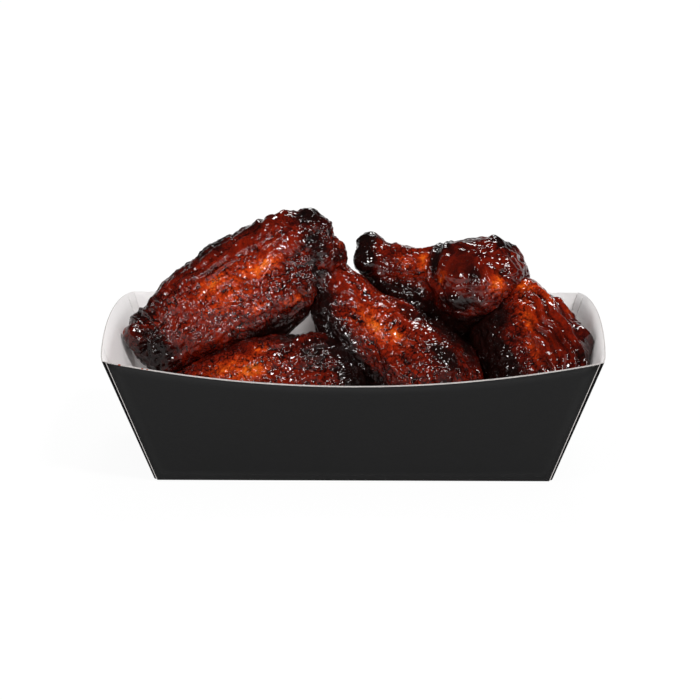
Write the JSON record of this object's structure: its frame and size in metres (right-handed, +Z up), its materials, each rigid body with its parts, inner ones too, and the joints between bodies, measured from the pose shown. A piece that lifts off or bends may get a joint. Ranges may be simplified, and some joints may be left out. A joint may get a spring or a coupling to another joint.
{
  "type": "chicken wings serving",
  "caption": "Glazed chicken wings heaped in a folded paperboard serving tray with leaning sides and a scooped front edge.",
  "frame": {"origin": "middle of the tray's base, on the surface it stands on", "axes": "+Z up, X along the tray, +Y towards the tray's straight back wall, so the scooped front wall faces -Y"},
  "size_m": [0.1858, 0.11, 0.0897],
  "materials": {
    "tray_board": "matt black print outside, bare white board inside and at the cut edges",
    "glazed_wing": "dark red-brown sticky glaze on roasted skin, charred at the ends"
  },
  "bodies": {
    "root": {"tray": "tray_board", "wing_flat_left": "glazed_wing", "wing_flat_under": "glazed_wing", "wing_drum_center": "glazed_wing", "wing_drum_top": "glazed_wing", "wing_flat_right": "glazed_wing"}
  },
  "joints": []
}
